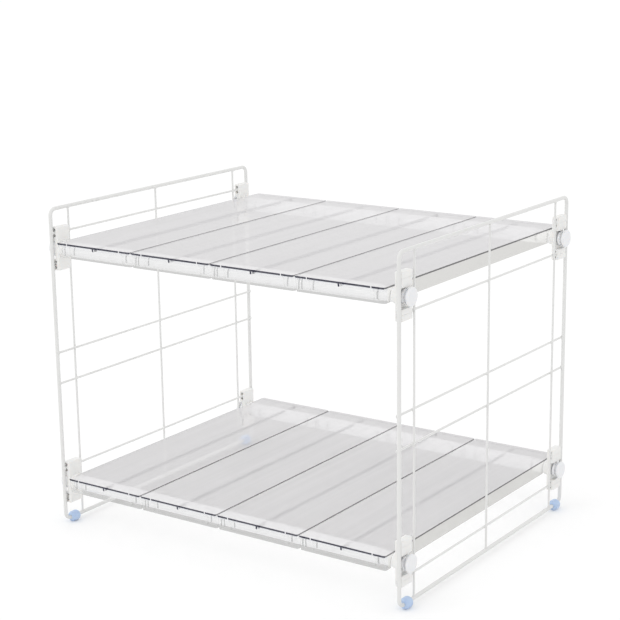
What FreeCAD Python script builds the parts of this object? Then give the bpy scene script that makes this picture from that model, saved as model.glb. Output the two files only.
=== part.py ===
"""Two-tier under-sink rack that telescopes in width.

Two wire side frames carry eight plastic brackets. Four telescopic poles run between the brackets,
each held by a screw knob at either end, and clear shelf panels drop over the poles.
The frame has +X to the right, +Y to the back and +Z up, with the floor at z = 0. Millimetres.
"""
import FreeCAD, Part
import os

Vec = FreeCAD.Vector
X_AXIS = Vec(1, 0, 0)
Z_AXIS = Vec(0, 0, 1)

# Side frames: a bent wire loop with thinner uprights and crossbars welded inside it
frame_height = 383.0
frame_depth = 378.5
frame_span = 476.8
loop_wire = 4.5
loop_bend = 8.0
bar_wire = 2.5
upright_inset = 29.7
bar_near_end = 28.0
bar_far_end = 66.0
weld_gap = 0.02

# Feet: soft barrels on the bottom rail, beside its bends
foot_d = 12.8
foot_length = 13.0
foot_round = 3.9
foot_flat = 0.4
foot_clearance = 0.05

# Telescopic poles
pole_inset = 13.25
pole_drop = 0.7
outer_tube_d = 17.4
outer_tube_wall = 0.7
inner_tube_wall = 0.9
tube_running_gap = 0.1
mouth_from_right_frame = 30.0
inner_end_from_left_frame = 40.0

# Brackets between a loop's side wire and its first upright
bracket_margin = 7.0
bracket_width = 21.3
bracket_thickness = 8.9
bracket_proud = 1.9
bracket_side_gap = 0.2
bracket_edge = 1.2
channel_height = 22.6
channel_drop = 1.1
channel_web = 4.5
snap_gap = 0.1
snap_mouth = 0.15
flex_hole_d = 3.6
flex_hole_offset = 3.4
boss_length = 5.0
boss_wall = 0.9
boss_flare = 0.9
socket_gap = 0.1

# Screw knobs with their studs and washers
knob_d = 20.4
knob_reach = 8.4
knob_head = 3.4
knob_groove = 2.8
knob_collar = 2.8
knob_collar_d = 17.2
knob_neck_d = 13.0
knob_edge = 1.2
stud_d = 5.0
stud_in_knob = 6.0
stud_in_pole = 13.0
stud_hole_gap = 0.25
thread_gap = 0.05
washer_d = 15.0
washer_thickness = 0.8
face_gap = 0.05

# Plugs and threaded inserts in the pole ends
plug_length = 17.0
insert_d = 7.2
insert_length = 10.0
insert_setback = 2.0
press_gap = 0.03

# Shelf panels: shallow upturned trays with ribs that saddle the poles
panels_per_tier = 4
panel_gap = 1.2
row_gap_left = 3.1
row_gap_right = 0.4
panel_overhang = 8.35
panel_wall = 1.8
panel_depth = 17.4
panel_corner = 3.0
end_draft = 2.4
side_draft = 0.6
saddle_gap = 0.3
saddle_web = 0.4
rib_thickness = 2.0
rib_height = 3.6
saddle_inset = 16.0
saddle_tail = 14.0
saddle_rise = 1.5

# Places that follow from the sizes above
SIDES = {"left": -1, "right": 1}
ENDS = {"front": -1, "back": 1}
rail_z = foot_d / 2 - foot_flat
loop_half = frame_depth / 2
upright_y = loop_half - upright_inset
pole_y = loop_half - pole_inset
groove_half = (bar_far_end - bar_near_end) / 2
tier_height = bar_near_end + groove_half
bracket_half = groove_half + bracket_margin
bracket_heights = {"lower": rail_z + tier_height, "upper": rail_z + frame_height - tier_height}
TIERS = {tier: height - pole_drop for tier, height in bracket_heights.items()}
bar_inset = bar_wire + weld_gap
outer_tube_r = outer_tube_d / 2
outer_bore_r = outer_tube_r - outer_tube_wall
inner_tube_r = outer_bore_r - tube_running_gap
inner_bore_r = inner_tube_r - inner_tube_wall
bracket_face = bracket_thickness - bracket_proud
channel_floor = bracket_face - channel_web
knob_seat = channel_floor - washer_thickness - face_gap
panel_top = outer_tube_r + saddle_gap + saddle_web + panel_wall
panel_half_depth = loop_half + panel_overhang
row_start = bracket_face + boss_length + row_gap_left - frame_span / 2
row_end = frame_span / 2 - bracket_face - boss_length - row_gap_right
panel_width = (row_end - row_start - (panels_per_tier - 1) * panel_gap) / panels_per_tier
panel_pitch = panel_width + panel_gap
saddle_x = panel_width / 2 - saddle_inset


def across(side, inset):
    """X of the plane that lies inset millimetres inside a side frame's plane."""
    return side * (frame_span / 2 - inset)


def block(x0, x1, y0, y1, z0, z1):
    """Box between two values on each axis, in either order."""
    low = Vec(min(x0, x1), min(y0, y1), min(z0, z1))
    return Part.makeBox(abs(x1 - x0), abs(y1 - y0), abs(z1 - z0), low)


def round_bar(start, end, radius):
    """Cylinder from one point to another."""
    run = end - start
    return Part.makeCylinder(radius, run.Length, start, run)


def bar_along_x(x0, x1, y, z, radius):
    return round_bar(Vec(x0, y, z), Vec(x1, y, z), radius)


def bend(end, top, radius):
    """Quarter bend of the loop at one corner: end is -1 or 1 along Y, top is -1 or 1 along Z."""
    middle_z = rail_z + frame_height / 2
    centre = Vec(0, end * (loop_half - loop_bend), middle_z + top * (frame_height / 2 - loop_bend))
    section = Part.Face(Part.Wire(Part.makeCircle(radius, centre + Vec(0, end * loop_bend, 0), Z_AXIS)))
    return section.revolve(centre, X_AXIS, 90 * end * top)


def loop(side):
    """Outer wire of a side frame: four straight runs and four bends, made at x = 0 and then moved."""
    radius = loop_wire / 2
    run_y = loop_half - loop_bend
    run_low = rail_z + loop_bend
    run_high = rail_z + frame_height - loop_bend
    runs = []
    for z in (rail_z, rail_z + frame_height):
        runs.append(round_bar(Vec(0, -run_y, z), Vec(0, run_y, z), radius))
    for end in ENDS.values():
        runs.append(round_bar(Vec(0, end * loop_half, run_low), Vec(0, end * loop_half, run_high), radius))
        runs.append(bend(end, -1, radius))
        runs.append(bend(end, 1, radius))
    wire = runs[0].multiFuse(runs[1:]).removeSplitter()
    wire.translate(Vec(across(side, 0), 0, 0))
    return wire


def uprights(side, frame_loop):
    """Three thin wires from the bottom rail to the top rail, coped to the rails."""
    x = across(side, 0)
    wires = []
    for y in (-upright_y, 0, upright_y):
        wire = round_bar(Vec(x, y, rail_z), Vec(x, y, rail_z + frame_height), bar_wire / 2)
        wires.append(wire.cut(frame_loop))
    return Part.makeCompound(wires)


def crossbar_heights(side):
    """Heights above the bottom rail. The right frame is the left one turned upside down."""
    middle = frame_height / 2
    heights = [bar_far_end, middle - groove_half, middle + groove_half, frame_height - bar_near_end]
    if side > 0:
        heights = [frame_height - height for height in reversed(heights)]
    return heights


def crossbars(side, frame_loop):
    """Four thin wires on the inner side of the uprights, welded to the loop's side wires."""
    x = across(side, bar_inset)
    wires = []
    for height in crossbar_heights(side):
        z = rail_z + height
        wire = round_bar(Vec(x, -loop_half, z), Vec(x, loop_half, z), bar_wire / 2)
        wires.append(wire.cut(frame_loop))
    return Part.makeCompound(wires)


def foot(side, end):
    """Soft barrel pushed along the bottom rail up to its bend, flat where it stands on the floor."""
    start = Vec(across(side, 0), end * (loop_half - loop_bend), rail_z)
    stop = start - Vec(0, end * foot_length, 0)
    barrel = round_bar(start, stop, foot_d / 2)
    barrel = barrel.makeFillet(foot_round, [edge for edge in barrel.Edges if edge.isClosed()])
    bore = round_bar(start, stop, loop_wire / 2 + foot_clearance)
    below_floor = block(-frame_span, frame_span, -frame_depth, frame_depth, -foot_d, 0)
    return barrel.cut(bore).cut(below_floor)


def outer_tube(end, z):
    """Wide half of a pole, from the left bracket's face to its open mouth near the right frame."""
    start = across(-1, bracket_face)
    mouth = across(1, mouth_from_right_frame)
    tube = bar_along_x(start, mouth, end * pole_y, z, outer_tube_r)
    return tube.cut(bar_along_x(start, mouth, end * pole_y, z, outer_bore_r))


def inner_tube(end, z):
    """Narrow half of a pole, from the right bracket's face into the wide half."""
    start = across(1, bracket_face)
    tip = across(-1, inner_end_from_left_frame)
    tube = bar_along_x(start, tip, end * pole_y, z, inner_tube_r)
    return tube.cut(bar_along_x(start, tip, end * pole_y, z, inner_bore_r))


def tube_plug(side, end, z):
    """Plug pressed into a pole's end, hollow for the insert and for the stud's tip."""
    tube_bore = outer_bore_r if side < 0 else inner_bore_r
    y = end * pole_y
    face = bracket_face
    insert_start = face + insert_setback
    plug = bar_along_x(across(side, face), across(side, face + plug_length), y, z, tube_bore - press_gap)
    pocket = bar_along_x(across(side, insert_start), across(side, insert_start + insert_length), y, z,
                         insert_d / 2 + press_gap)
    way = bar_along_x(across(side, face), across(side, face + stud_in_pole + insert_setback), y, z,
                      stud_d / 2 + stud_hole_gap)
    return plug.cut(pocket).cut(way)


def threaded_insert(side, end, z):
    """Sleeve in the plug that the stud screws into."""
    x0 = across(side, bracket_face + insert_setback)
    x1 = across(side, bracket_face + insert_setback + insert_length)
    sleeve = bar_along_x(x0, x1, end * pole_y, z, insert_d / 2)
    return sleeve.cut(bar_along_x(x0, x1, end * pole_y, z, stud_d / 2 + thread_gap))


def bracket(side, end, z):
    """Plastic block that snaps over two crossbars, with a socket for a pole and a channel for its knob."""
    outer_y = loop_half - loop_wire / 2 - bracket_side_gap
    inner_y = outer_y - bracket_width
    face = across(side, bracket_face)
    back = across(side, -bracket_proud)
    y = end * pole_y
    middle = z + pole_drop
    tube_r = outer_tube_r if side < 0 else inner_tube_r
    channel_z = z - channel_drop
    body = block(back, face, end * inner_y, end * outer_y, middle - bracket_half, middle + bracket_half)
    body = body.makeFillet(bracket_edge, body.Edges)
    body = body.fuse(boss(side, y, z, tube_r + boss_wall))
    cuts = [
        bar_along_x(face, across(side, bracket_face + boss_length), y, z, tube_r + socket_gap),
        block(back, across(side, channel_floor), end * upright_y, end * (outer_y + bracket_width),
              channel_z - channel_height / 2, channel_z + channel_height / 2),
        bar_along_x(back, face, y, z, stud_d / 2 + stud_hole_gap),
    ]
    for groove_z in (middle - groove_half, middle + groove_half):
        cuts.extend(snap_groove(side, end, groove_z))
    for tool in cuts:
        body = body.cut(tool)
    return body


def boss(side, y, z, tip_r):
    """Socket round the pole's end, tapering from the bracket to its tip."""
    root = channel_web / 2
    start = Vec(across(side, bracket_face - root), y, z)
    return Part.makeCone(tip_r + boss_flare, tip_r, boss_length + root, start, Vec(-side, 0, 0))


def snap_groove(side, end, z):
    """Cutting tools for one crossbar groove: its bore, a slit behind it and two holes to let it flex."""
    y0 = end * (upright_y - bar_wire)
    y1 = end * (loop_half + loop_wire)
    x = across(side, bar_inset)
    tools = [
        round_bar(Vec(x, y0, z), Vec(x, y1, z), bar_wire / 2 + snap_gap),
        block(across(side, -bracket_thickness), x, y0, y1, z - snap_mouth / 2, z + snap_mouth / 2),
    ]
    for hole_z in (z - flex_hole_offset, z + flex_hole_offset):
        tools.append(round_bar(Vec(x, y0, hole_z), Vec(x, y1, hole_z), flex_hole_d / 2))
    return tools


def knob(side, end, z):
    """Round screw head with a groove and a collar behind it, on a neck with a blind bore for its stud."""
    y = end * pole_y
    face = across(side, -knob_reach)
    under = across(side, knob_head - knob_reach)
    collar_start = knob_head + knob_groove - knob_reach
    seat = across(side, knob_seat)
    head = bar_along_x(face, under, y, z, knob_d / 2)
    head = head.makeFillet(knob_edge, [edge for edge in head.Edges if edge.isClosed()])
    neck = bar_along_x(across(side, knob_head / 2 - knob_reach), seat, y, z, knob_neck_d / 2)
    collar = bar_along_x(across(side, collar_start), across(side, collar_start + knob_collar), y, z,
                         knob_collar_d / 2)
    bore = bar_along_x(across(side, knob_seat - stud_in_knob), seat, y, z, stud_d / 2 + press_gap)
    return head.fuse([neck, collar]).cut(bore)


def stud(side, end, z):
    """Threaded rod from the knob through the bracket into the pole."""
    start = across(side, knob_seat - stud_in_knob)
    tip = across(side, bracket_face + stud_in_pole)
    return bar_along_x(start, tip, end * pole_y, z, stud_d / 2)


def washer(side, end, z):
    """Flat ring between a knob and the floor of its channel."""
    x0 = across(side, channel_floor - washer_thickness)
    x1 = across(side, channel_floor)
    ring = bar_along_x(x0, x1, end * pole_y, z, washer_d / 2)
    return ring.cut(bar_along_x(x0, x1, end * pole_y, z, stud_d / 2 + stud_hole_gap))


def tray_outline(drop, inset):
    """Rounded rectangle of a panel's walls, drop below its top face and inset from its outer skin."""
    lean = drop / panel_depth
    half_x = panel_width / 2 - side_draft * lean - inset
    half_y = panel_half_depth - end_draft * lean - inset
    radius = panel_corner - inset
    corner_x = half_x - radius
    corner_y = half_y - radius
    slant = radius * 0.5 ** 0.5
    edges = []
    previous = None
    for turn_x, turn_y in ((1, -1), (1, 1), (-1, 1), (-1, -1)):
        centre = Vec(turn_x * corner_x, turn_y * corner_y, -drop)
        on_end = centre + Vec(0, turn_y * radius, 0)
        on_side = centre + Vec(turn_x * radius, 0, 0)
        first, last = (on_end, on_side) if turn_x * turn_y < 0 else (on_side, on_end)
        if previous:
            edges.append(Part.makeLine(previous, first))
        middle = centre + Vec(turn_x * slant, turn_y * slant, 0)
        edges.append(Part.Arc(first, middle, last).toShape())
        previous = last
    edges.append(Part.makeLine(previous, edges[0].Vertexes[0].Point))
    return Part.Wire(edges)


def panel_blank():
    """One panel with its top face at z = 0 and its middle at the origin."""
    shell = Part.makeLoft([tray_outline(panel_depth, 0), tray_outline(0, 0)], True, True)
    inner_outlines = [tray_outline(panel_depth * 2, panel_wall), tray_outline(panel_wall, panel_wall)]
    hollow = Part.makeLoft(inner_outlines, True, True)
    tray = shell.cut(hollow)
    end_y = panel_half_depth - panel_wall
    half_rib = rib_thickness / 2
    ribs = [block(-half_rib, half_rib, -end_y, end_y, -panel_wall / 2, -panel_wall - rib_height)]
    for end in ENDS.values():
        for x in (-saddle_x, saddle_x):
            ribs.append(block(x - half_rib, x + half_rib, end * end_y, end * (pole_y - saddle_tail),
                              -panel_wall / 2, saddle_rise - panel_depth))
    panel = tray.multiFuse([rib.common(shell) for rib in ribs])
    for end in ENDS.values():
        panel = panel.cut(pole_slot(end))
    return panel.removeSplitter()


def pole_slot(end):
    """Round-topped slot, open below, that lets a panel's walls and ribs straddle a pole."""
    radius = outer_tube_r + saddle_gap
    y = end * pole_y
    crown = bar_along_x(-panel_width, panel_width, y, -panel_top, radius)
    bottom = -panel_top - 2 * panel_depth
    legs = block(-panel_width, panel_width, y - radius, y + radius, -panel_top, bottom)
    return crown.fuse(legs)


def panels():
    """All panels by name, side by side along each pair of poles."""
    blank = panel_blank()
    placed = {}
    for tier, z in TIERS.items():
        for index in range(panels_per_tier):
            x = row_start + panel_width / 2 + panel_pitch * index
            panel = blank.copy()
            panel.translate(Vec(x, 0, z + panel_top))
            placed[f"panel_{tier}_{index + 1}"] = panel
    return placed


def side_frame(name, side):
    """Wires and feet of one side frame."""
    frame_loop = loop(side)
    pieces = {
        f"side_loop_{name}": frame_loop,
        f"side_uprights_{name}": uprights(side, frame_loop),
        f"side_crossbars_{name}": crossbars(side, frame_loop),
    }
    for end_name, end in ENDS.items():
        pieces[f"foot_{name}_{end_name}"] = foot(side, end)
    return pieces


def side_fittings(name, side):
    """Brackets, knobs and pole-end pieces of one side. Small alike pieces share a node."""
    pieces = {}
    groups = {"tube_plugs": tube_plug, "threaded_inserts": threaded_insert, "clamp_washers": washer}
    places = [(end_name, end, tier, z) for end_name, end in ENDS.items() for tier, z in TIERS.items()]
    for end_name, end, tier, z in places:
        pieces[f"bracket_{name}_{end_name}_{tier}"] = bracket(side, end, z)
        pieces[f"knob_{name}_{end_name}_{tier}"] = knob(side, end, z)
        pieces[f"stud_{name}_{end_name}_{tier}"] = stud(side, end, z)
    for group, make in groups.items():
        pieces[f"{group}_{name}"] = Part.makeCompound([make(side, end, z) for _, end, _, z in places])
    return pieces


def poles():
    """Both halves of the four telescopic poles."""
    pieces = {}
    for end_name, end in ENDS.items():
        for tier, z in TIERS.items():
            pieces[f"outer_tube_{end_name}_{tier}"] = outer_tube(end, z)
            pieces[f"inner_tube_{end_name}_{tier}"] = inner_tube(end, z)
    return pieces


def main():
    nodes = {}
    for name, side in SIDES.items():
        nodes.update(side_frame(name, side))
        nodes.update(side_fittings(name, side))
    nodes.update(poles())
    nodes.update(panels())
    os.makedirs("parts", exist_ok=True)
    for name, shape in nodes.items():
        shape.exportStep(f"parts/{name}.step")
        print(name, len(shape.Solids), "solids", round(shape.Volume, 1), "mm3", shape.isValid())
    print(len(nodes), "nodes")


main()
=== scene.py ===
# %% [markdown]
# # A two-tier under-sink rack, dressed for its picture
# The rack is two white wire frames, four white telescopic poles between them, and eight clear
# panels that rest on the poles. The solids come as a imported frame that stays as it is. This lesson
# gives each surface its finish, adds the weld beads that the solids leave out, and sets up the
# camera, the light and the floor.

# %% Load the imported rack
import bpy
import math
from types import SimpleNamespace
from mathutils import Matrix, Vector


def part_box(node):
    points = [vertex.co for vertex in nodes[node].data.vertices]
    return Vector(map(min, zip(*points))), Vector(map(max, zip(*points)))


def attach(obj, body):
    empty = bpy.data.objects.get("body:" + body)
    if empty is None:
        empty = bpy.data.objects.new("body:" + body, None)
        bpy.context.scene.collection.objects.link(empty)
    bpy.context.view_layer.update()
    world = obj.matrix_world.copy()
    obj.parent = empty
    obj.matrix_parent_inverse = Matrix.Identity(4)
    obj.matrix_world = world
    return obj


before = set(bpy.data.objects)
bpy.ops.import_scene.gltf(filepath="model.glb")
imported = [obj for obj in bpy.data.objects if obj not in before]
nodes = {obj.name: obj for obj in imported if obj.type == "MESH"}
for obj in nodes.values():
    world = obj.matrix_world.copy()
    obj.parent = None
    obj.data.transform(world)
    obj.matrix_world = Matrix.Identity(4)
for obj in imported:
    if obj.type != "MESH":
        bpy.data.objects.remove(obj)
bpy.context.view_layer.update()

# %% [markdown]
# ## The camera
# The picture was taken from the right, a little above the upper shelf, with a long lens that
# keeps the uprights nearly parallel. A Track To constraint could aim a camera, but the picture
# also leans by most of a degree, so the camera's three axes are worked out from its azimuth, its
# elevation and that lean, and go straight into its matrix.

# %% Camera at the picture's view
CAMERA_PLACE = Vector((1.07313, -1.54081, 0.71857))
AZIMUTH = math.radians(34.940)
ELEVATION = math.radians(13.738)
LEAN = math.radians(-0.8125)
LENS = 93.96
FILM_WIDTH = 36

back = Vector((math.sin(AZIMUTH) * math.cos(ELEVATION),
               -math.cos(AZIMUTH) * math.cos(ELEVATION),
               math.sin(ELEVATION)))
level_right = Vector((math.cos(AZIMUTH), math.sin(AZIMUTH), 0))
level_up = back.cross(level_right)
right = math.cos(LEAN) * level_right + math.sin(LEAN) * level_up
up = math.cos(LEAN) * level_up - math.sin(LEAN) * level_right

camera_data = bpy.data.cameras.new("picture_camera")
camera_data.lens = LENS
camera_data.sensor_width = FILM_WIDTH
camera = bpy.data.objects.new("picture_camera", camera_data)
camera.matrix_world = Matrix.Translation(CAMERA_PLACE) @ Matrix((right, up, back)).transposed().to_4x4()
bpy.context.scene.collection.objects.link(camera)
bpy.context.scene.camera = camera

# %% [markdown]
# ## Shader sums as plain Python
# A finish is a small network of nodes. Wiring each Math node by hand hides what it works out, so
# one class wraps a socket: adding, multiplying or comparing two of them adds the Math node, and
# the node method adds any other kind of node with its settings and its inputs.

# %% The signal class
class Signal:
    """An output socket in a finish's node tree."""

    def __init__(self, tree, socket=None):
        self.tree = tree
        self.socket = socket

    def node(self, kind, settings=None, inputs=None, output=0):
        """Add a node. Settings come first, because some of them change which sockets it has."""
        made = self.tree.nodes.new("ShaderNode" + kind)
        for name, value in (settings or {}).items():
            setattr(made, name, value)
        for name, value in (inputs or {}).items():
            if isinstance(value, Signal):
                self.tree.links.new(value.socket, made.inputs[name])
            else:
                made.inputs[name].default_value = value
        return Signal(self.tree, made.outputs[output] if made.outputs else None)

    def other(self, output):
        """Another output of the same node."""
        return Signal(self.tree, self.socket.node.outputs[output])

    def math(self, operation, first, second=0.0):
        return self.node("Math", {"operation": operation}, {0: first, 1: second})

    def __add__(self, other):
        return self.math("ADD", self, other)

    def __sub__(self, other):
        return self.math("SUBTRACT", self, other)

    def __rsub__(self, other):
        return self.math("SUBTRACT", other, self)

    def __mul__(self, other):
        return self.math("MULTIPLY", self, other)

    def __pow__(self, other):
        return self.math("POWER", self, other)

    def __mod__(self, other):
        return self.math("FLOORED_MODULO", self, other)

    def __gt__(self, other):
        return self.math("GREATER_THAN", self, other)

    def __lt__(self, other):
        return self.math("LESS_THAN", self, other)

    def __abs__(self):
        return self.math("ABSOLUTE", self)

    __radd__ = __add__
    __rmul__ = __mul__


print("signal class ready")

# %% [markdown]
# ## Starting a finish
# Every finish reads Object coordinates. The rack's nodes keep their place in their meshes, so
# these are metres in the rack's own frame: a noise of scale 500 has grains of about 2 mm.

# %% Helpers that every finish uses
def start_finish(name):
    """New material with an empty tree, and a signal to build from."""
    material = bpy.data.materials.new(name)
    material.use_nodes = True
    material.node_tree.nodes.clear()
    return material, Signal(material.node_tree)


def end_finish(tree, shader):
    tree.node("OutputMaterial", inputs={"Surface": shader})


def noise_at(tree, scale, detail=2.0, stretch=(1, 1, 1)):
    """Noise from 0 to 1, drawn out along an axis whose stretch is small."""
    place = tree.node("TexCoord", output="Object")
    spot = tree.node("Mapping", inputs={"Vector": place, "Scale": stretch})
    return tree.node("TexNoise", inputs={"Vector": spot, "Scale": scale, "Detail": detail})


def tint(tree, amount, low, high):
    """Colour between two others, each of which is a colour or a signal."""
    low, high = [c if isinstance(c, Signal) else (*c, 1) for c in (low, high)]
    return tree.node("Mix", {"data_type": "RGBA"}, {0: amount, 6: low, 7: high}, output=2)


def bumps(tree, height, depth):
    """Normal of a surface whose height signal spans depth metres."""
    return tree.node("Bump", inputs={"Height": height, "Distance": depth, "Strength": 1.0})


print("helpers ready")

# %% [markdown]
# ## White powder coat on the wires
# The side frames are steel wire, sprayed with powder and baked. The coat flows into a fine orange
# peel, a little thinner and glossier on the crests, so one noise drives both the bump and the
# roughness, and a slow one keeps the white from being a single value.

# %% Powder coat and smoother tube paint
WHITE_DRIFT = 25
PEEL_DETAIL = 3.0
PEEL_ROUGHNESS = 0.12
COAT_ROUGHNESS = 0.12


def paint_finish(name, low, high, roughness, peel_scale, peel_depth, coat):
    material, tree = start_finish(name)
    drift = noise_at(tree, WHITE_DRIFT)
    peel = noise_at(tree, peel_scale, PEEL_DETAIL)
    shader = tree.node("BsdfPrincipled", inputs={
        "Base Color": tint(tree, drift, low, high),
        "Roughness": roughness + peel * PEEL_ROUGHNESS,
        "Coat Weight": coat,
        "Coat Roughness": COAT_ROUGHNESS,
        "Normal": bumps(tree, peel, peel_depth),
    })
    end_finish(tree, shader)
    return material


white_wire = paint_finish("white_wire", (0.745, 0.745, 0.735), (0.805, 0.805, 0.795),
                          roughness=0.34, peel_scale=900, peel_depth=0.00005, coat=0.25)
white_tube = paint_finish("white_tube", (0.85, 0.852, 0.856), (0.89, 0.892, 0.896),
                          roughness=0.28, peel_scale=500, peel_depth=0.00002, coat=0.35)
print(white_wire.name, white_tube.name)

# %% [markdown]
# ## Moulded plastics
# Brackets and knobs are injection moulded. The brackets are a warmer, duller white with a fine
# spark-eroded texture, the knobs a cooler white with a smooth face. The feet are a soft, pale blue
# vinyl. A plain colour would look like chalk, so a little light is let under each surface.

# %% Bracket, knob, plug and foot plastic
TONE_DRIFT = 60
GRAIN_SCALE = 2500
GRAIN_ROUGHNESS = 0.14
LIGHT_DEPTH = 0.0015
LIGHT_DEPTH_BY_COLOUR = (1.0, 0.9, 0.8)


def moulded_finish(name, low, high, roughness, grain_depth, subsurface):
    material, tree = start_finish(name)
    drift = noise_at(tree, TONE_DRIFT)
    grain = noise_at(tree, GRAIN_SCALE)
    shader = tree.node("BsdfPrincipled", inputs={
        "Base Color": tint(tree, drift, low, high),
        "Roughness": roughness + grain * GRAIN_ROUGHNESS,
        "Subsurface Weight": subsurface,
        "Subsurface Radius": LIGHT_DEPTH_BY_COLOUR,
        "Subsurface Scale": LIGHT_DEPTH,
        "Normal": bumps(tree, grain, grain_depth),
    })
    end_finish(tree, shader)
    return material


bracket_plastic = moulded_finish("bracket_plastic", (0.85, 0.845, 0.83), (0.89, 0.885, 0.87),
                                 roughness=0.38, grain_depth=0.00003, subsurface=0.15)
knob_plastic = moulded_finish("knob_plastic", (0.84, 0.845, 0.86), (0.88, 0.885, 0.90),
                              roughness=0.28, grain_depth=0.00001, subsurface=0.15)
plug_plastic = moulded_finish("plug_plastic", (0.70, 0.70, 0.68), (0.75, 0.75, 0.73),
                              roughness=0.42, grain_depth=0.00002, subsurface=0.1)
foot_vinyl = moulded_finish("foot_vinyl", (0.45, 0.58, 0.81), (0.55, 0.68, 0.88),
                            roughness=0.30, grain_depth=0.00001, subsurface=0.4)
print(bracket_plastic.name, knob_plastic.name, plug_plastic.name, foot_vinyl.name)

# %% [markdown]
# ## Plated and plain metal
# The studs and washers are zinc plated, with the faint cloudiness of a passivated coat. The inserts
# are turned brass.

# %% Zinc and brass
CLOUD_SCALE = 300
CLOUD_DETAIL = 4.0
CLOUD_ROUGHNESS = 0.2


def metal_finish(name, low, high, roughness):
    material, tree = start_finish(name)
    cloud = noise_at(tree, CLOUD_SCALE, CLOUD_DETAIL)
    shader = tree.node("BsdfPrincipled", inputs={
        "Base Color": tint(tree, cloud, low, high),
        "Metallic": 1.0,
        "Roughness": roughness + cloud * CLOUD_ROUGHNESS,
    })
    end_finish(tree, shader)
    return material


zinc_steel = metal_finish("zinc_steel", (0.55, 0.56, 0.58), (0.70, 0.71, 0.73), roughness=0.25)
insert_brass = metal_finish("insert_brass", (0.62, 0.47, 0.22), (0.75, 0.58, 0.30), roughness=0.22)
print(zinc_steel.name, insert_brass.name)

# %% [markdown]
# ## Clear panels
# Along a glancing line of sight a clear plate is a soft grey that half hides what lies under it.
# Its cut rim is dark, because the light that entered the plate is trapped there. Refraction in a
# tray with ribs would need many samples, so the finish is split by where a face lies: the top of
# the plate, its underside, the walls and the rim each have their own Alpha. The rim is dark from
# outside alone, and a blurred mirror is mixed in by the glancing angle. Sizes are in metres, and a
# level is counted from the top of the plate, so what lies below it has a level less than 0.

# %% Where the faces of a panel lie
first_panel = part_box("panel_lower_1")
second_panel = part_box("panel_lower_2")
row_start = first_panel[0].x
pitch = second_panel[0].x - first_panel[0].x
panel_width = first_panel[1].x - first_panel[0].x
lower_top = first_panel[1].z
tier_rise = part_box("panel_upper_1")[1].z - lower_top
row_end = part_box("panel_lower_4")[1].x
row_middle = (row_start + row_end) / 2
row_half = (row_end - row_start) / 2
panel_half_depth = first_panel[1].y
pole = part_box("outer_tube_back_lower")
pole_depth = (pole[0].y + pole[1].y) / 2
pole_half = (pole[1].y - pole[0].y) / 2
PLATE = 0.0018
RIB = 0.0020
CENTRE_RIB_DEPTH = 0.0036
SADDLE_INSET = 0.0160
SADDLE_GLINT = 0.0006
CLEAR_EDGE = 0.0015
ROW_WALL = 0.0012
LIP = 0.0070
LIP_DRAFT = 0.138
FRONT_RIM = 0.0021
RIM_SHADE = -0.0065
# Painted shade: between these two levels the lip turns greyer towards its bottom.
LOWER_LIP_SHADE_TOP = -0.0115
LOWER_LIP_SHADE_BOTTOM = -0.0142
HEM = -0.0166
SLOT_GAP = 0.0006
print("panel", round(panel_width, 4), "m wide, tiers", round(tier_rise, 4), "m apart")

# %% Parts of a panel as signals
FACES_THAT_WAY = 0.6
LOWEST_LEVEL = 0.1


def panel_parts(tree):
    """Signals that are 1 on one part of a panel and 0 elsewhere."""
    x = tree.node("SeparateXYZ", inputs={0: tree.node("TexCoord", output="Object")})
    depth = abs(x.other("Y"))
    level = (x.other("Z") - lower_top + LOWEST_LEVEL) % tier_rise - LOWEST_LEVEL
    across = (x - row_start) % pitch - panel_width / 2
    facing = tree.node("NewGeometry", output="Normal")
    outside = 1 - facing.other("Backfacing")
    facing_x = tree.node("SeparateXYZ", inputs={0: facing})
    on_end = abs(facing_x.other("Y")) > FACES_THAT_WAY
    flat = abs(facing_x.other("Z")) > FACES_THAT_WAY
    upright = 1 - flat
    rim = upright * (level > on_end * (PLATE - FRONT_RIM) - PLATE)
    # Where a saddle meets the front rim, the dark rim breaks off: a painted highlight on the saddle's
    # end.
    saddle_highlight = abs(abs(across) - (panel_width / 2 - SADDLE_INSET)) < SADDLE_GLINT
    lip_front = on_end * (depth - level * LIP_DRAFT > panel_half_depth - PLATE / 2)
    lip_side = (1 - on_end) * (depth > panel_half_depth - LIP)
    lip = outside * upright * (lip_front + lip_side)
    rib_end = lip * (abs(across) < RIB / 2) * (level > -PLATE - CENTRE_RIB_DEPTH)
    row_face = outside * (1 - on_end) * (facing_x * (x - row_middle) > 0.0)

    def lip_fade(start, end):
        """Grows along the lip, from 0 at one level to 1 at another."""
        return lip * tree.node("MapRange", inputs={"Value": level, "From Min": start, "From Max": end})

    return SimpleNamespace(
        outside=outside, on_end=on_end, flat=flat,
        top=flat * (level > -PLATE / 2),
        wall=upright - rim,
        dark=outside * (rim * (1 - on_end * saddle_highlight) + rib_end > 0.5),
        # painted shade, growing towards the bottom of the lip
        lower_lip_shade=lip_fade(LOWER_LIP_SHADE_TOP, LOWER_LIP_SHADE_BOTTOM),
        rim_shade=lip_fade(RIM_SHADE, -FRONT_RIM),
        hem=lip * (level < HEM),
        rib_side=upright * (1 - on_end) * (abs(across) < RIB),
        slot_edge=on_end * (abs(depth - pole_depth) < pole_half + SLOT_GAP),
        row_wall=row_face * (1 - lip) * (abs(x - row_middle) > row_half - ROW_WALL),
        long_edge=across < CLEAR_EDGE - panel_width / 2,
    )


print("panel parts ready")

# %% Colours of a panel
PLATE_DRIFT = 7
PLATE_TONES = (0.705, 0.685, 0.70), (0.825, 0.805, 0.82)
WALL_GREY = (0.66, 0.655, 0.63)
# grey of the painted shade low on the lip
LOWER_LIP_SHADE_GREY = (0.64, 0.635, 0.625)
ROW_WALL_WHITE = (0.96, 0.945, 0.90)
RIM_SHADE_BLUE = (0.62, 0.64, 0.70)
SLOT_GREY = (0.22, 0.22, 0.23)
HEM_SHARE = 0.3
SIDE_RIM = (0.12, 0.115, 0.12)
END_RIM = (0.02, 0.02, 0.045)


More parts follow.
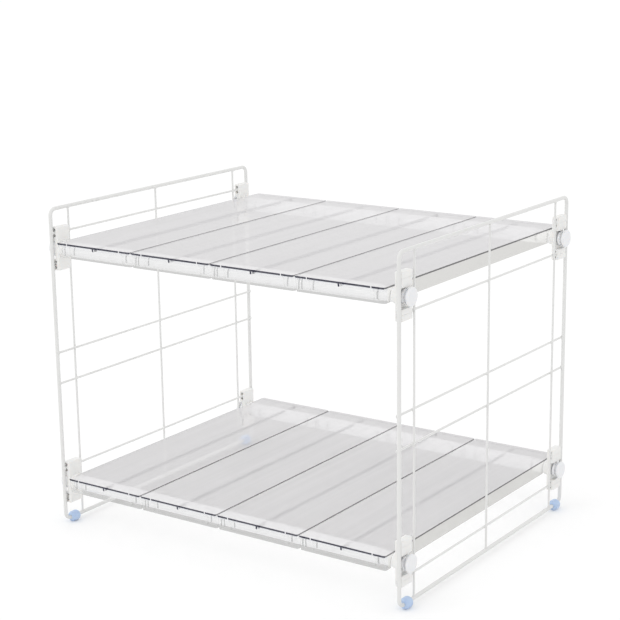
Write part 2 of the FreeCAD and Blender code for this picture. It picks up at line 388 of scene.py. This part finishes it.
def panel_colour(tree, on, streaks):
    """Base colour of a panel, part by part."""
    mottle = streaks * 0.5 + noise_at(tree, PLATE_DRIFT) * 0.5
    plate = tint(tree, mottle, *PLATE_TONES)
    wall = tint(tree, on.lower_lip_shade, WALL_GREY, LOWER_LIP_SHADE_GREY)
    wall = tint(tree, on.row_wall, wall, ROW_WALL_WHITE)
    wall = tint(tree, on.rim_shade, wall, RIM_SHADE_BLUE)
    wall = tint(tree, on.slot_edge + on.rib_side + on.hem * HEM_SHARE, wall, SLOT_GREY)
    rim = tint(tree, on.on_end, SIDE_RIM, END_RIM)
    return tint(tree, on.dark, tint(tree, on.flat, wall, plate), rim)


print("panel colours ready")

# %% Haze of a panel
PLATE_HAZE = 0.38
STREAK_HAZE = 0.10
EDGE_CLEARING = 0.85
UNDERSIDE_HAZE = 0.05
WALL_HAZE = 0.03
ROW_WALL_HAZE = 0.34
# haze of the painted shade low on the lip
LOWER_LIP_SHADE_HAZE = 0.20
RIM_SHADE_HAZE = 0.30
SLOT_EDGE_HAZE = 0.35
RIB_SIDE_HAZE = 0.28
RIM_HAZE = 0.80
END_RIM_HAZE = 0.12


def panel_haze(on, streaks):
    """Alpha of a panel, part by part."""
    plate = (PLATE_HAZE + streaks * STREAK_HAZE) * (1 - EDGE_CLEARING * on.long_edge)
    wall = (WALL_HAZE + on.row_wall * ROW_WALL_HAZE + on.lower_lip_shade * LOWER_LIP_SHADE_HAZE + on.rim_shade * RIM_SHADE_HAZE
            + on.slot_edge * SLOT_EDGE_HAZE + on.rib_side * RIB_SIDE_HAZE)
    rim = RIM_HAZE + on.on_end * END_RIM_HAZE
    return on.top * plate + (on.flat - on.top) * UNDERSIDE_HAZE + on.wall * wall + on.dark * rim


print("panel haze ready")

# %% Clear panel finish
STREAK_SCALE = 70
STREAK_DETAIL = 3.0
STREAKS_ALONG_DEPTH = (1, 0.03, 1)
LIGHT_PASSED = 0.9
PLATE_ROUGHNESS = 0.08
STREAK_ROUGHNESS = 0.05
MIRROR_BLUR = 0.26
STREAK_BLUR = 0.08
MIRROR_TONES = (0.78, 0.775, 0.785), (0.86, 0.855, 0.865)
HEAD_ON_GLOSS = 0.04
GLANCING_POWER = 5.0


def clear_panel_finish():
    material, tree = start_finish("clear_panel")
    on = panel_parts(tree)
    streaks = noise_at(tree, STREAK_SCALE, STREAK_DETAIL, STREAKS_ALONG_DEPTH)
    shadow_ray = tree.node("LightPath", output="Is Shadow Ray")
    seen = 1 - LIGHT_PASSED * (shadow_ray + shadow_ray.other("Is Diffuse Ray"))
    clear = tree.node("BsdfPrincipled", inputs={
        "Base Color": panel_colour(tree, on, streaks),
        "Roughness": PLATE_ROUGHNESS + streaks * STREAK_ROUGHNESS,
        "Alpha": seen * panel_haze(on, streaks),
        "Specular IOR Level": 0.0,
    })
    mirror = tree.node("BsdfPrincipled", inputs={
        "Base Color": tint(tree, streaks, *MIRROR_TONES),
        "Metallic": 1.0,
        "Roughness": MIRROR_BLUR + streaks * STREAK_BLUR,
    })
    glancing = tree.node("LayerWeight", inputs={"Blend": 0.5}, output="Facing")
    gloss = HEAD_ON_GLOSS + (1 - HEAD_ON_GLOSS) * glancing ** GLANCING_POWER
    mirrored = gloss * (on.flat + on.on_end * on.wall) * seen * on.outside
    end_finish(tree, tree.node("MixShader", inputs={0: mirrored, 1: clear, 2: mirror}))
    return material


clear_panel = clear_panel_finish()
MOST_CLEAR_WALLS = 32
bpy.context.scene.cycles.transparent_max_bounces = MOST_CLEAR_WALLS
print(clear_panel.name, len(clear_panel.node_tree.nodes), "nodes")

# %% [markdown]
# ## Giving the nodes their finishes
# Each node's name starts with the kind of piece it is, so one table from kind to finish covers
# the whole rack.

# %% Finish for each kind of piece
FINISH_OF = {
    "side_loop": white_wire, "side_uprights": white_wire, "side_crossbars": white_wire,
    "foot": foot_vinyl, "outer_tube": white_tube, "inner_tube": white_tube,
    "bracket": bracket_plastic, "knob": knob_plastic, "stud": zinc_steel,
    "clamp_washers": zinc_steel, "tube_plugs": plug_plastic, "threaded_inserts": insert_brass,
    "panel": clear_panel,
}
for name, piece in nodes.items():
    finish = next(made for kind, made in FINISH_OF.items() if name.startswith(kind))
    piece.data.materials.clear()
    piece.data.materials.append(finish)
print("finishes on", len(nodes), "nodes")

# %% [markdown]
# ## Weld beads
# The crossbars are welded to the uprights and to the loop, and the uprights to its rails. Each weld
# squeezes out a small nugget of metal, which the powder then covers. A ball would look stuck on, so
# the nugget is a short cylinder whose ends are inset and pulled out to a low dome. It is modelled
# once, and each copy is stretched to its place, which comes from the wires themselves.

# %% Model one bead
BEAD_SIDES = 12
BARREL_LENGTH = 0.5
END_INSET = 0.5
END_PULL = 2.4
FACES_ENDWAYS = 0.9

bpy.ops.object.select_all(action="DESELECT")
bpy.ops.mesh.primitive_cylinder_add(
    vertices=BEAD_SIDES, radius=1, depth=BARREL_LENGTH, rotation=(0, math.pi / 2, 0))
bead = bpy.context.object
bpy.ops.object.transform_apply(rotation=True)
bpy.ops.object.mode_set(mode="EDIT")
bpy.ops.mesh.select_mode(type="FACE")
bpy.ops.mesh.select_all(action="DESELECT")
bpy.ops.object.mode_set(mode="OBJECT")
for face in bead.data.polygons:
    face.select = abs(face.normal.x) > FACES_ENDWAYS
bpy.ops.object.mode_set(mode="EDIT")
bpy.ops.mesh.inset(thickness=END_INSET)
bpy.ops.transform.resize(value=(END_PULL, 1, 1))
bpy.ops.object.mode_set(mode="OBJECT")
round_off = bead.modifiers.new("round_off", "SUBSURF")
round_off.levels = 1
round_off.render_levels = 1
bpy.ops.object.modifier_apply(modifier=round_off.name)
bpy.ops.object.shade_smooth()
bead_half = [max(vertex.co[axis] for vertex in bead.data.vertices) for axis in range(3)]
print("bead", len(bead.data.polygons), "faces, half sizes", [round(half, 2) for half in bead_half])

# %% Where the wires meet
WIRE_GAP = 0.005
CROSSING = (0.0008, 0.0019, 0.0019)
BAR_END = (0.0010, 0.0018, 0.0020)
POST_END = (0.0018, 0.0018, 0.0009)


def wire_middles(name, axis):
    """Middle of each separate wire of a node, along one axis."""
    spots = sorted(vertex.co[axis] for vertex in nodes[name].data.vertices)
    runs = [[spots[0]]]
    for spot in spots[1:]:
        if spot - runs[-1][-1] > WIRE_GAP:
            runs.append([])
        runs[-1].append(spot)
    return [(run[0] + run[-1]) / 2 for run in runs]


def weld_places(side):
    """Centre and half sizes of each bead on one side frame."""
    low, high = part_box(f"side_loop_{side}")
    loop_half = (high.x - low.x) / 2
    loop_x = (high.x + low.x) / 2
    bar_x = sum(corner.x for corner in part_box(f"side_crossbars_{side}")) / 2
    bar_heights = wire_middles(f"side_crossbars_{side}", 2)
    post_spots = wire_middles(f"side_uprights_{side}", 1)
    touch_x = (loop_x + bar_x) / 2
    rail_faces = (low.z + 2 * loop_half, high.z - 2 * loop_half)
    places = []
    for z in bar_heights:
        places += [(Vector((touch_x, y, z)), CROSSING) for y in post_spots]
        places += [(Vector((bar_x, y, z)), BAR_END) for y in (low.y + loop_half, high.y - loop_half)]
    for y in post_spots:
        places += [(Vector((loop_x, y, z)), POST_END) for z in rail_faces]
    return places


print(len(weld_places("left")), "welds on each side frame")

# %% Lay the beads
def lay_beads(side):
    """Copies of the bead at every weld of one side frame, joined to one piece."""
    bpy.ops.object.select_all(action="DESELECT")
    for centre, half in weld_places(side):
        copy = bead.copy()
        copy.data = bead.data.copy()
        stretch = Matrix.Diagonal([wanted / made for wanted, made in zip(half, bead_half)] + [1])
        copy.data.transform(Matrix.Translation(centre) @ stretch)
        bpy.context.scene.collection.objects.link(copy)
        copy.select_set(True)
        bpy.context.view_layer.objects.active = copy
    bpy.ops.object.join()
    beads = bpy.context.object
    beads.name = f"weld_beads_{side}"
    beads.data.name = beads.name
    beads.data.materials.append(white_wire)
    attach(beads, f"{side}_side")
    print(beads.name, len(beads.data.polygons), "faces")


for side in ("left", "right"):
    lay_beads(side)
bpy.data.objects.remove(bead)

# %% [markdown]
# ## Floor, world and lamp
# The floor and the world are white where they are looked at, straight or by way of a mirror or
# glass, and that white adds no light to the rack. Behind a clear piece the floor is a pale grey, so
# that white poles and brackets show as lighter shapes in the plates. A weak sun with a very wide
# disc makes the soft key.

# %% What a ray looks at
def looked_at(tree):
    """1 for a ray that sees the background, straight or by way of a mirror or glass."""
    camera_ray = tree.node("LightPath", output="Is Camera Ray")
    return camera_ray + camera_ray.other("Is Glossy Ray") + camera_ray.other("Is Transmission Ray") > 0.5


def seen_through_clear(tree):
    """1 for a ray from the camera that has passed a clear piece."""
    camera_ray = tree.node("LightPath", output="Is Camera Ray")
    return camera_ray * (camera_ray.other("Transparent Depth") > 0.5)


print("ray tests ready")

# %% Floor
FLOOR_SIZE = 60
FLOOR_DROP = 0.0003
FLOOR_DRIFT = 3
FLOOR_WHITES = (0.90, 0.90, 0.90), (0.92, 0.92, 0.92)
FLOOR_GREYS = (0.585, 0.585, 0.585), (0.605, 0.605, 0.605)
WHITE_LIFT = 0.1

floor_finish, tree = start_finish("pale_floor")
mottle = noise_at(tree, FLOOR_DRIFT)
behind_clear = seen_through_clear(tree)
white_floor = tint(tree, mottle, *FLOOR_WHITES)
grey_floor = tint(tree, mottle, *FLOOR_GREYS)
floor_shader = tree.node("BsdfPrincipled", inputs={
    "Base Color": tint(tree, behind_clear, white_floor, grey_floor),
    "Roughness": 0.9,
    "Specular IOR Level": 0.0,
    "Emission Color": tint(tree, looked_at(tree) * (1 - behind_clear), (0, 0, 0), (1, 1, 1)),
    "Emission Strength": WHITE_LIFT,
})
end_finish(tree, floor_shader)

bpy.ops.object.select_all(action="DESELECT")
bpy.ops.mesh.primitive_plane_add(size=FLOOR_SIZE, location=(0, 0, -FLOOR_DROP))
floor = bpy.context.object
floor.name = "floor"
floor.data.materials.append(floor_finish)
print("floor", FLOOR_SIZE, "m square")

# %% World
SKY_LIGHT = 0.96
SKY_WHITE = 1.0

world = bpy.data.worlds.new("white_studio")
world.use_nodes = True
world.node_tree.nodes.clear()
tree = Signal(world.node_tree)
soft_light = tree.node("Background", inputs={"Color": (1, 1, 1, 1), "Strength": SKY_LIGHT})
white_sight = tree.node("Background", inputs={"Color": (1, 1, 1, 1), "Strength": SKY_WHITE})
sky = tree.node("MixShader", inputs={0: looked_at(tree), 1: soft_light, 2: white_sight})
tree.node("OutputWorld", inputs={"Surface": sky})
bpy.context.scene.world = world
bpy.context.scene.view_settings.view_transform = "Standard"
print("world", world.name)

# %% Lamp
KEY_STRENGTH = 0.3
KEY_DISC = math.radians(50)
KEY_TURN = (math.radians(40), math.radians(-25), 0)

key_data = bpy.data.lights.new("key", "SUN")
key_data.energy = KEY_STRENGTH
key_data.angle = KEY_DISC
key = bpy.data.objects.new("key", key_data)
key.rotation_euler = KEY_TURN
bpy.context.scene.collection.objects.link(key)
print("key lamp", key_data.energy, "W per square metre")

# %% [markdown]
# ## Sizes
# The last cell works out no boxes; it only prints a line.

# %% Closing line
print("sizes not worked out")
